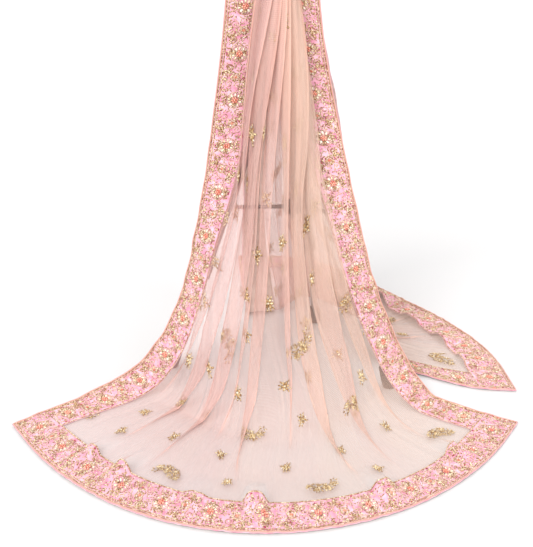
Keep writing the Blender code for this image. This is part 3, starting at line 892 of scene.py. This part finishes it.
def net_material():
    """Sheer net, whose alpha grows with how closely it is gathered."""
    made, tree, shader = new_material("peach_net")
    fine = use(tree, TINT, Across=55.0, Along=2.5)[0]
    broad = use(tree, TINT, Across=4.2, Along=0.7)[0]
    # the left half of the cloth is rosier and darker, with a soft, uneven edge: a pinker net, with
    # painted shade for the shadowed floor behind it
    across = add(tree, "ShaderNodeSeparateXYZ", {0: cloth_uv(tree)}).outputs["X"]
    rosy_shade = share_of(tree, math_node(tree, "SUBTRACT", across, broad), 0.30, -0.15)
    flat_colour = mix(tree, rosy_shade, ramp(tree, fine, *BEIGE), ramp(tree, fine, *ROSY_SHADED))
    # where threads lie close together the net is lighter: a painted highlight for the light that gathered
    # folds catch, less bright on the rosy side, which has painted shade
    closeness = add(tree, "ShaderNodeAttribute", attribute_name="closeness").outputs["Fac"]
    colour = mix(tree, share_of(tree, closeness, 1.3, 4.0), flat_colour, ramp(tree, rosy_shade, *BUNCHED_HIGHLIGHT))
    threads = use(tree, NET)[0]
    solid = math_node(tree, "SUBTRACT", 1.0, math_node(tree, "POWER", 1 - SHEER, closeness))
    patterned = math_node(tree, "MULTIPLY", solid, rising(tree, threads, 0.90, 0.35))
    alpha = math_node(tree, "MULTIPLY", patterned, rising(tree, fine, 0.80, 0.4))
    connect(tree, shader, {
        "Base Color": colour, "Alpha": math_node(tree, "MINIMUM", alpha, MOST_SOLID),
        "Roughness": 0.75, "Specular IOR Level": 0.2, "Sheen Weight": 0.1,
        "Normal": bump(tree, threads, 0.0002),
    })
    return made


net_finish = net_material()
print("one layer of net stops", SHEER, "of the light")

# %% [markdown]
# ## Satin and piping
#
# Satin's long floats of thread give it a soft gloss over a fine weave. A bump carries the weave,
# because its threads are thinner than the mesh could follow, and the roughness drifts a little so
# that the gloss isn't even. The reverse of the borders is duller and beige, with stitching.

# %% Satin
def satin_material(name, deep, light, thread):
    """Woven satin between two tints. thread is the width of one thread."""
    made, tree, shader = new_material(name)
    tint = use(tree, TINT, Across=70.0, Along=70.0)[0]
    connect(tree, shader, {
        "Base Color": ramp(tree, tint, (0.3, deep), (0.7, light)),
        "Roughness": rising(tree, tint, 0.34, 0.25),
        "Sheen Weight": 0.2,
        "Normal": bump(tree, use(tree, WEAVE, Thread=thread)[0], 0.0003, 0.6),
    })
    print("satin:", name)
    return made


satin = satin_material("pink_satin", (230, 148, 176), (254, 204, 219), 0.0007)
piping_finish = satin_material("pink_piping", (204, 144, 136), (226, 170, 160), 0.0009)
lining = satin_material("stitched_reverse", (206, 180, 168), (230, 208, 196), 0.0012)

# %% [markdown]
# ## Gold wire, sequins and stones
#
# The wire is coiled and flattened, so it sparkles in tiny facets instead of shining as one
# surface. Cells of a Voronoi texture stand for the facets: each has its own tone and roughness, and
# a bump tilts it. The tones are painted glints and painted shade, from near white to dark, laid on
# at random. The metal is only partly metallic, because a full metal would mirror the pale studio
# and lose its colour.

# %% Sparkling finishes
def sparkling_material(name, dark, middle, light, metallic, roughness, facets, coat=0.0):
    """Facets in three tones: painted shade, the finish's own colour and a painted glint. facets is how
    many of them there are along a metre.
    """
    made, tree, shader = new_material(name)
    glint = use(tree, GLINT, Facets=facets)
    # each facet's tone is painted at random: light ones are painted glints, dark ones painted shade
    connect(tree, shader, {
        "Base Color": ramp(tree, glint["Value"], (0.1, dark), (0.5, middle), (0.9, light)),
        "Roughness": rising(tree, glint["Value"], roughness, 0.2),
        "Metallic": metallic, "Coat Weight": coat,
        "Normal": bump(tree, glint["Height"], 0.0004, 0.5),
    })
    print("sparkling:", name)
    return made


gold = sparkling_material(
    "gold_wire", (162, 116, 80), (216, 178, 134), (255, 242, 212), 0.26, 0.30, 520.0)
antique = sparkling_material(
    "antique_gold", (146, 106, 66), (198, 160, 108), (250, 232, 188), 0.35, 0.28, 460.0)
cream = sparkling_material(
    "cream_sequin", (206, 176, 132), (240, 222, 188), (254, 250, 236), 0.15, 0.2, 420.0, 0.4)
coral = sparkling_material(
    "coral_stone", (222, 116, 96), (238, 150, 126), (252, 196, 172), 0.0, 0.2, 500.0, 0.5)
berry = sparkling_material(
    "berry_bead", (160, 40, 66), (204, 74, 92), (236, 130, 136), 0.1, 0.2, 600.0, 0.4)


# %% [markdown]
# ## Drawing the border
#
# The border's design is a repeat 82 mm long: a round flower with a cluster of coral stones, then
# a scroll of wire with leaves on both sides, with a small rosette in its middle. On the side
# borders the repeats are a little closer together. Every other repeat is turned over, as an
# embroiderer would, and small differences keep it from looking printed. The design is drawn with u
# along the border and w in from its outer edge. It is drawn in Python, because it is a drawing:
# only the laying of it repeats one simple rule, and that is what the tree is for.

# %% Collecting points
Spot = namedtuple("Spot", "x y turn size")
MOTIFS = ("leaf", "petal", "stone", "berry", "stitch", "bead")
SIZE_SCATTER, TURN_SCATTER = 0.07, 0.08


def travel(line):
    """How far along a line each of its points is."""
    return np.concatenate([[0], np.cumsum(np.linalg.norm(np.diff(line, axis=0), axis=1))])


def around(x, y, radius, angle):
    """The point at a distance and an angle from (x, y)."""
    return x + radius * cos(angle), y + radius * sin(angle)


class Layout:
    """Flat points for each motif, gathered before they are sewn."""

    def __init__(self, seed, x_range, y_range):
        self.spots = {kind: [] for kind in MOTIFS}
        self.random = np.random.default_rng(seed)
        self.x_range, self.y_range = x_range, y_range

    def put(self, kind, place, x, y, turn=0.0, size=1.0):
        """place turns the drawing's own (u, w) and direction into cloth metres."""
        px, py = place(x, y)
        if not (self.x_range[0] < px < self.x_range[1] and self.y_range[0] < py < self.y_range[1]):
            return
        qx, qy = place(*around(x, y, 0.001, turn))
        size *= 1 + self.random.normal(0, SIZE_SCATTER)
        turn = atan2(qy - py, qx - px) + self.random.normal(0, TURN_SCATTER)
        self.spots[kind].append(Spot(px, py, turn, size))

    def chain(self, kind, place, points, step, size=1.0, tilt=0.0):
        """Motifs end to end along a line of (u, w) points."""
        line = np.array(points)
        travelled = travel(line)
        for d in np.arange(step / 2, travelled[-1], step):
            x, y = (np.interp(d, travelled, line[:, k]) for k in range(2))
            i = min(np.searchsorted(travelled, d), len(line) - 1) - 1
            ahead = line[i + 1] - line[i]
            self.put(kind, place, x, y, atan2(ahead[1], ahead[0]) + tilt, size)


# %% Flowers, curls and fronds
def ring(x, y, radius, steps):
    """A closed round line."""
    return [around(x, y, radius, tau * i / steps) for i in range(steps + 1)]


def flower(layout, place, x, y, size, petals=10):
    """Coral stones in a ring of pale petals and gold leaves, with wire round it."""
    layout.put("stone", place, x, y, 0, 1.1 * size)
    for i in range(6):
        a = tau * i / 6 + 0.3
        layout.put("stone", place, *around(x, y, 0.0040 * size, a), a, size)
    for i in range(petals):
        a = tau * i / petals
        if i % 3 < 2:
            layout.put("petal", place, *around(x, y, 0.0096 * size, a), a, 0.92 * size)
        else:
            for side in (0.16, -0.16):
                layout.put("leaf", place, *around(x, y, 0.0096 * size, a + side), a, 1.1 * size)
        b = a + pi / petals
        layout.put("bead", place, *around(x, y, 0.0122 * size, b), b, size)
    layout.chain("stitch", place, ring(x, y, 0.0063 * size, 18), 0.0027, 0.8)
    layout.chain("stitch", place, ring(x, y, 0.0146 * size, 24), 0.0030, 1.1)


def curl(x, y, start, turns, radius, way):
    """A small spiral of wire that closes on (x, y)."""
    return [around(x, y, radius * (1 - 0.7 * t), start + way * turns * tau * t)
            for t in np.linspace(0, 1, 16)]


def frond(layout, place, line, step=0.0046, size=0.9, reach=0.0036):
    """A line of wire with leaves in pairs, and one leaf at its tip."""
    line = np.array(line)
    layout.chain("stitch", place, line, 0.0031)
    travelled = travel(line)
    for d in np.arange(step * 0.7, travelled[-1], step):
        x, y = (np.interp(d, travelled, line[:, k]) for k in range(2))
        i = min(np.searchsorted(travelled, d), len(line) - 1)
        a = atan2(*(line[i] - line[i - 1])[::-1])
        for side in (0.85, -0.85):
            layout.put("leaf", place, *around(x, y, reach, a + side), a + side, size)
    a = atan2(*(line[-1] - line[-2])[::-1])
    layout.put("leaf", place, *around(*line[-1], reach, a), a, size)


# %% One repeat of the border
REPEAT = 0.082            # as it is drawn, and as it comes on the end borders
SIDE_REPEAT = 0.0746
MIDDLE = 0.0315           # of the embroidered band, in from the outer edge
SPRIGS = ((0.0430, 0.0165, 0.9), (0.0390, -0.0175, 4.0), (0.0620, 0.0185, 0.3),
          (0.0205, -0.0185, 3.4), (0.0330, 0.0185, 2.0), (0.0490, -0.0190, 5.2))
BERRIES = ((0.0375, 0.0115), (0.0450, -0.0125), (0.0190, -0.0225), (0.0630, 0.0235), (0.0, 0.0210))
BEADS = ((0.0100, 0.0215), (-0.0100, -0.0215), (0.0330, 0.0040), (0.0480, -0.0060), (0.0245, 0.0010),
         (0.0570, 0.0000), (0.0640, -0.0215), (0.0200, 0.0225), (0.0430, 0.0225), (0.0380, -0.0230))


def repeat(layout, place, u, step, flip, whole):
    """One repeat, step long, with its flower at u. flip is 1 or -1. A flower off the end is left out."""
    def here(du, dw):
        return place(u + du * step / REPEAT, MIDDLE + flip * dw)

    if whole:
        flower(layout, here, 0, 0.0010, 0.98)
        for corner, bend in ((0.80, 1), (2.30, -1), (-0.80, -1), (-2.30, 1)):
            line = [(0.0175 * (1 + 0.35 * b) * cos(corner + bend * b),
                     0.0175 * sin(corner + bend * b * 0.8)) for b in np.linspace(0.0, 0.60, 6)]
            frond(layout, here, line, size=0.85)
    flower(layout, here, 0.0410, -0.0020, 0.46, petals=7)
    stem = [(0.0165 + 0.049 * t, 0.0150 * sin(tau * t)) for t in np.linspace(0, 1, 26)]
    for half in (stem[:12], stem[:13:-1]):
        frond(layout, here, half, step=0.0052, reach=0.0046)
    for x, y, way in ((0.0150, 0.0190, 1), (0.0670, -0.0190, -1)):
        edge = [(x + way * 0.024 * t, y - way * 0.0045 * sin(pi * t)) for t in np.linspace(0, 1, 9)]
        frond(layout, here, edge, step=0.0048, size=0.8)
    for x, y, start, way in ((0.0300, -0.0120, 1.2, -1), (0.0520, 0.0120, 4.3, -1)):
        layout.chain("stitch", here, curl(x, y, start, 1.45, 0.0078, way), 0.0030)
        layout.put("bead", here, x, y, 0, 1.3)
        for k in range(6):
            a = start + way * (0.2 + 0.8 * k)
            layout.put("leaf", here, *around(x, y, 0.0105, a), a + 0.6 * way, 0.85)
    for x, y, a in SPRIGS:
        for side in (0.7, -0.7, 0.0):
            layout.put("leaf", here, *around(x, y, 0.0036, a + side), a + side, 0.85)
    for x, y in BERRIES:
        layout.put("berry", here, x, y, 0, 1.3)
    for x, y in BEADS:
        layout.put("bead", here, x, y, 0, 1.2)


# %% A whole border
CORD_LINES = (0.0036, 0.0070, 0.0584)      # gold cords, in from the outer edge
FLOWER_ROOM = 0.018       # what a flower needs between its middle and the border's end
GROUND_TRIES = 4000       # for each metre of border
GROUND = (0.0100, 0.0535) # the band that small sprigs fill
BARE = 0.0031             # the satin is bare where no motif is this near


def fill_ground(layout, length, place):
    """Small sprigs wherever the satin would still show bare."""
    taken = np.array([(s.x, s.y) for spots in layout.spots.values() for s in spots])
    tries = int(length * GROUND_TRIES)
    for u, w, a in layout.random.uniform((0, GROUND[0], 0), (length, GROUND[1], tau), (tries, 3)):
        if np.abs(taken - place(u, w)).max(axis=1).min() < BARE:
            continue
        layout.put("bead", place, u, w, a, 1.0)
        for side in (0.0, 1.9, -1.9):
            layout.put("leaf", place, *around(u, w, 0.0031, a + side), a + side, 0.66)
        taken = np.concatenate([taken, [place(*around(u, w, 0.0040, b)) for b in range(6)]])


def draw_border(layout, length, place, phase, step, inset):
    """Repeats from phase on, the ground between them, and cords that stop inset from the ends."""
    for i in range(-1, int(length / step) + 2):
        u = phase + i * step
        repeat(layout, place, u, step, 1 if i % 2 else -1, FLOWER_ROOM < u < length - FLOWER_ROOM)
    fill_ground(layout, length, place)
    for w in CORD_LINES:
        line = [(u, w) for u in np.linspace(inset, length - inset, 60)]
        layout.chain("stitch", place, line, 0.0027, 1.28, tilt=0.45)


# %% Sewing a layout
# For each kind of motif: its shape, its finish, and how far it stands off the cloth.
KINDS = (
    ("petal", petal, cream, 0.0004),
    ("stone", stone, coral, 0.0008),
    ("berry", bead, berry, 0.0004),
    ("leaf", leaf, gold, 0.0003),
    ("stitch", stitch, gold, 0.0003),
    ("bead", bead, cream, 0.0005),
)
SEWN_MARGIN = 0.0022      # no motif's middle comes nearer to the cloth's edge


def sew(layout, name, fall, kinds):
    """Turns a layout into one plain mesh for each kind of motif."""
    made = []
    for kind, shape, finish, lift in kinds:
        spots = layout.spots[kind]
        if not spots:
            continue
        flat = np.clip([(s.x, s.y) for s in spots], SEWN_MARGIN,
                       (CLOTH_WIDTH - SEWN_MARGIN, fall.run - SEWN_MARGIN))
        mesh = bpy.data.meshes.new(f"{name}_{kind}")
        mesh.from_pydata([(x, y, 0) for x, y in flat], [], [])
        for field in ("turn", "size"):
            attribute = mesh.attributes.new(field, "FLOAT", "POINT")
            attribute.data.foreach_set("value", [getattr(s, field) for s in spots])
        made.append(lay(new_object(mesh.name, mesh), SEW, fall, Motif=shape, Lift=lift, Finish=finish))
    print(name, "embroidered:", sum(len(obj.data.polygons) for obj in made), "faces")
    return made


# %% Embroider the borders
END_STRETCH = END_BORDER / SIDE_BORDER


def border_places(fall):
    """For each border: its name, its length, and how the drawing's u and w lie on the cloth."""
    side_run = fall.run - END_BORDER
    return (
        ("left", side_run, lambda u, w: (w, END_BORDER + u)),
        ("right", side_run, lambda u, w: (CLOTH_WIDTH - w, END_BORDER + u)),
        ("end", CLOTH_WIDTH, lambda u, w: (u, w * END_STRETCH)),
    )


trims = {}
for number, fall in enumerate(FALLS):
    for border, length, place in border_places(fall):
        corners = np.array([place(0.0005, 0.0025), place(length - 0.0005, SIDE_BORDER - 0.001)])
        layout = Layout(20 + number * 3 + len(border), np.sort(corners[:, 0]), np.sort(corners[:, 1]))
        if border == "end":
            draw_border(layout, length, place, 0.040, REPEAT, 0.0022)
        else:
            draw_border(layout, length, place, 0.026, SIDE_REPEAT, 0.0005)
        trims[fall.name, border] = sew(layout, f"{fall.name}_{border}", fall, KINDS)


# %% [markdown]
# ## Florets on the net
#
# The net carries small florets in rows that are offset by half a step, with larger sprays
# nearer the ends, where a dupatta is seen the most. They are darker gold than the border's, and
# are sewn with the same shapes and the same tree.

# %% Floret and spray
def turned(x, y, turn):
    """A place function for a drawing that is turned and moved to (x, y) on the cloth."""
    return lambda u, w: (x + u * cos(turn) - w * sin(turn), y + u * sin(turn) + w * cos(turn))


def floret(layout, x, y, turn, size):
    """A six-petalled floret in a ring of leaves."""
    place = turned(x, y, turn)
    layout.put("stone", place, 0, 0, 0, 0.9 * size)
    for i in range(6):
        a = tau * i / 6
        layout.put("petal", place, *around(0, 0, 0.0046 * size, a), a, 0.84 * size)
        layout.put("bead", place, *around(0, 0, 0.0074 * size, a + 0.5), a, size)
    for a in (0.3, 0.8, 1.3, 3.2, 3.7, 5.0):
        layout.put("leaf", place, *around(0, 0, 0.0094 * size, a), a, 0.85 * size)


def spray(layout, x, y, turn, size):
    """A crescent of small florets along a bent stem, with leaves on both sides."""
    place = turned(x, y, turn)
    bend = 0.027 * size
    arc = [(bend * cos(a), bend * (sin(a) - 0.7)) for a in np.linspace(0.25, pi - 0.25, 14)]
    frond(layout, place, arc, step=0.0060, size=1.0, reach=0.0070)
    for a, away, scale in ((0.45, 1.0, 0.75), (1.15, 1.12, 0.9), (1.85, 1.0, 1.0), (2.55, 1.1, 0.8),
                           (1.1, 0.50, 0.7), (1.9, 0.58, 0.8), (0.5, 0.62, 0.5)):
        px, py = place(bend * away * cos(a), bend * (away * sin(a) - 0.7))
        floret(layout, px, py, a, 0.86 * scale * size)


# %% Rows of florets
ROW_STEP, SPRAY_STEP = 0.160, 0.305
SPRAY_ROWS = 3            # further from the end than these, a large floret takes a spray's place
WANDER = 0.006
HEM_ROOM = 0.004          # the net's florets stay this far from its seams
OTHER_FINISHES = {"stone": cream, "petal": antique, "leaf": antique, "stitch": antique}
NET_KINDS = [(kind, shape, OTHER_FINISHES.get(kind, finish), lift) for kind, shape, finish, lift in KINDS]
florets = {}
for fall in FALLS:
    layout = Layout(70 + fall.side, (SIDE_BORDER + HEM_ROOM, CLOTH_WIDTH - SIDE_BORDER - HEM_ROOM),
                    (END_BORDER + HEM_ROOM, fall.run - HEM_ROOM))
    for row, y in enumerate(np.arange(0.100, fall.run - 0.08, ROW_STEP)):
        first = 0.180 if row % 2 else 0.345
        for k in range(-1, 4):
            x = first + k * SPRAY_STEP
            dx, dy, turn = *layout.random.normal(0, WANDER, 2), layout.random.uniform(-0.5, 0.5)
            if row < SPRAY_ROWS:
                spray(layout, x + dx, y + dy, turn + (pi if k % 2 else 0), 1.0)
            else:
                floret(layout, x + dx, y + dy, turn, 1.3)
            floret(layout, x + 0.115 + dy, y + 0.022 + dx, turn + 1, 1.15)
            floret(layout, x + 0.080 + dx, y + 0.090 + dy, turn + 2, 1.2)
            floret(layout, x - 0.075 + dy, y + 0.085 + dx, turn + 4, 1.2)
    florets[fall.name] = sew(layout, f"{fall.name}_net", fall, NET_KINDS)


# %% [markdown]
# ## Piping
#
# The outer edge is finished with a thin rolled strip of plain pink. A round profile follows the
# edge on the flat cloth, and the same laying nodes take it to the drape. A bevelled curve could
# follow the draped edge instead, but this way it can't leave the cloth.

# %% Roll the edges
PIPING_RADIUS = 0.0012
PIPING_STEP = 0.004
PIPING_END = 0.0005       # how far it stops from the top of the bar
for fall in FALLS:
    inset = PIPING_RADIUS + 0.0002
    far, top = CLOTH_WIDTH - inset, fall.run - PIPING_END
    corners = [(inset, top), (inset, inset), (far, inset), (far, top)]
    path = []
    for (x0, y0), (x1, y1) in zip(corners, corners[1:]):
        steps = int(max(abs(x1 - x0), abs(y1 - y0)) / PIPING_STEP)
        path += [(x0 + (x1 - x0) * i / steps, y0 + (y1 - y0) * i / steps, 0) for i in range(steps)]
    path.append((*corners[-1], 0))
    mesh = bpy.data.meshes.new(f"{fall.name}_piping")
    mesh.from_pydata(path, [(i, i + 1) for i in range(len(path) - 1)], [])
    obj = lay(new_object(mesh.name, mesh), ROLL, fall,
              Radius=PIPING_RADIUS, Lift=0.0006, Finish=piping_finish)
    trims[fall.name, "end"].append(obj)
    print(obj.name, len(obj.data.polygons), "faces")


# %% [markdown]
# ## The stand
#
# The stand is plain: satin dark tube, rubber feet and a knitted cover on the padded bar. Its
# solids are already right, so they keep their shape and only get finishes: a noise on the object's
# own coordinates lightens them unevenly, as handling does, and changes their gloss with it.

# %% Finishes of the stand
def wear_group():
    """Fine uneven wear, about 0.5 in the middle, from the object's own coordinates."""
    group, given, result = new_group("Wear", {"Grain": 60.0}, ["Value"])
    where = add(group, "ShaderNodeTexCoord").outputs["Object"]
    noise = add(group, "ShaderNodeTexNoise", {"Vector": where, "Scale": given["Grain"], "Detail": 5.0})
    connect(group, result, {"Value": noise.outputs[0]})
    return group


WEAR = wear_group()


def stand_material(name, dark, light, metallic, roughness, grain):
    """A worn finish between two tints. A larger grain is finer."""
    made, tree, shader = new_material(name)
    worn = use(tree, WEAR, Grain=grain)[0]
    connect(tree, shader, {
        "Base Color": ramp(tree, worn, (0.35, dark), (0.65, light)),
        "Roughness": rising(tree, worn, roughness, 0.25),
        "Metallic": metallic,
        "Normal": bump(tree, worn, 0.0002, 0.4),
    })
    return made


STAND_FINISHES = {
    "dark_metal": stand_material("dark_metal", (70, 66, 70), (104, 98, 101), 0.5, 0.32, 60.0),
    "rubber": stand_material("rubber", (34, 32, 33), (52, 48, 50), 0.0, 0.65, 240.0),
    "bar_padding": stand_material("bar_padding", (196, 176, 176), (222, 204, 202), 0.0, 0.70, 320.0),
}
slots = {row["node"]: row["material_slot"] for row in frame["record"]["subparts"]}
for name, obj in frame["nodes"].items():
    if slots.get(name) in STAND_FINISHES:
        obj.data.materials.clear()
        obj.data.materials.append(STAND_FINISHES[slots[name]])
        print(name, "finished in", slots[name])


# %% [markdown]
# ## Joining it to the frame
#
# Each cloth piece takes the place of its solid, rides on the one body, and says what flat cloth
# it was cut from. The embroidery goes with the cloth that it is sewn to.

# %% Cloth rides, replaces and prints its flat size
for name, d in draped.items():
    side_run = d.fall.run - END_BORDER
    cuts = {"net": (NET_WIDTH, side_run), "left": (SIDE_BORDER, side_run),
            "right": (SIDE_BORDER, side_run), "end": (CLOTH_WIDTH, END_BORDER)}
    for part, flat in cuts.items():
        cloth = pieces[name, part]
        if part == "net":
            node, slot, on_it = f"{name}_net", "peach_net", florets[name]
            cloth.data.materials.append(net_finish)
        else:
            node, slot, on_it = f"{name}_border_{part}", "pink_satin", trims[name, part]
            cloth.data.materials[0], cloth.data.materials[1] = satin, lining
        for piece in (cloth, *on_it):
            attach(piece, "root")
        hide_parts(node)
        print(node, "stands for", round(flat[0] * flat[1], 4), "square metres of flat cloth, with",
              len(on_it), "pieces on it")

for helper in (*maps.values(), leaf, petal, stone, bead, stitch):
    bpy.data.objects.remove(helper, do_unlink=True)
